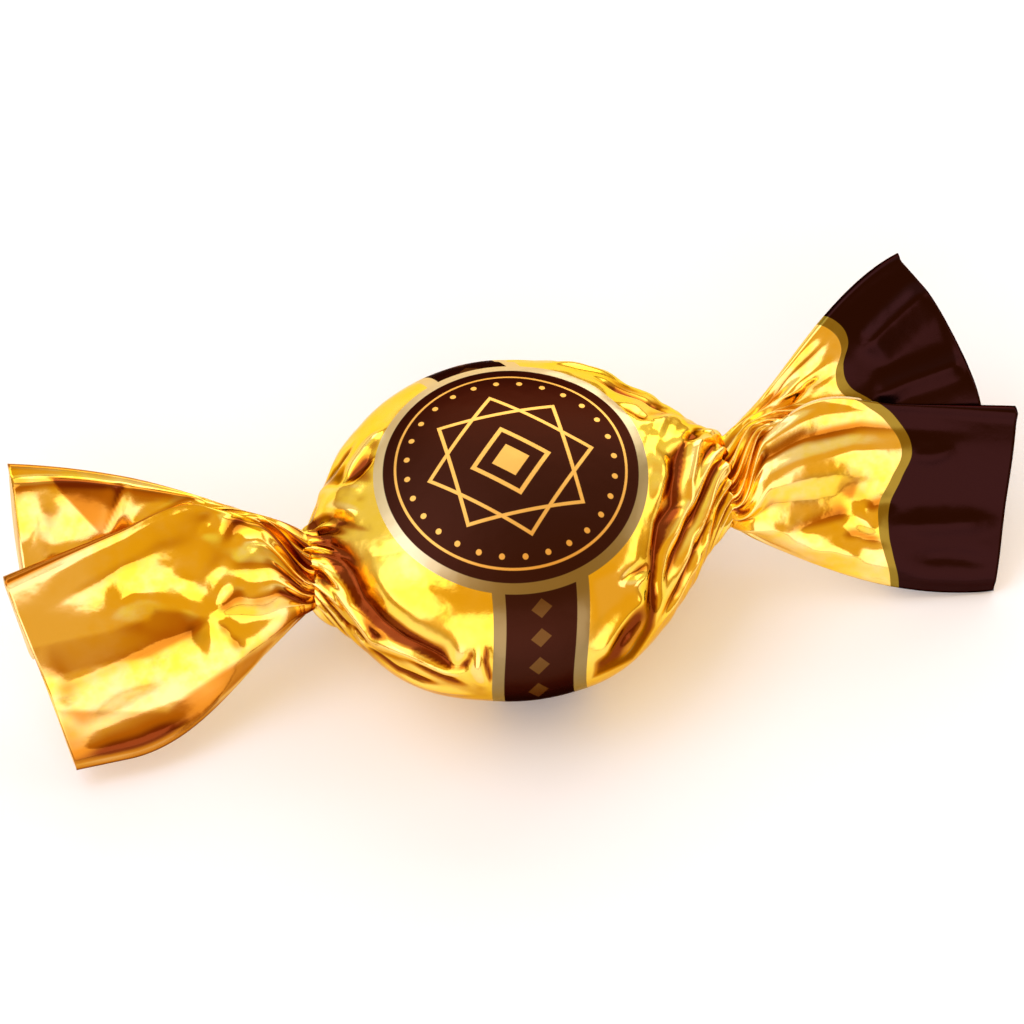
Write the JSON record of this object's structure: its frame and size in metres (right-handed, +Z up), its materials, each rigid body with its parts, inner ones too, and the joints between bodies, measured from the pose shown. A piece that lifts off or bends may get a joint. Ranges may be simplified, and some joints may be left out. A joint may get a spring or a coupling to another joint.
{
  "type": "wrapped caramel sweet",
  "caption": "Twist-wrapped caramel sweet in gold foil: a round domed body with a printed disc and band, gathered at both ends into folded fans of foil.",
  "frame": {"origin": "middle of the flat spot under the sweet, on the table", "axes": "+X along the sweet from the plain gold fan to the printed fan, +Y towards the high edge of both fans, +Z up"},
  "size_m": [0.0921, 0.0342, 0.0192],
  "materials": {
    "gold_foil": "thin crumpled metallised wrapper foil, bright gold, with glossy dark brown print and a dull gold border on the disc, the band and one fan"
  },
  "bodies": {
    "root": {"wrapped_sweet": "gold_foil"}
  },
  "joints": []
}
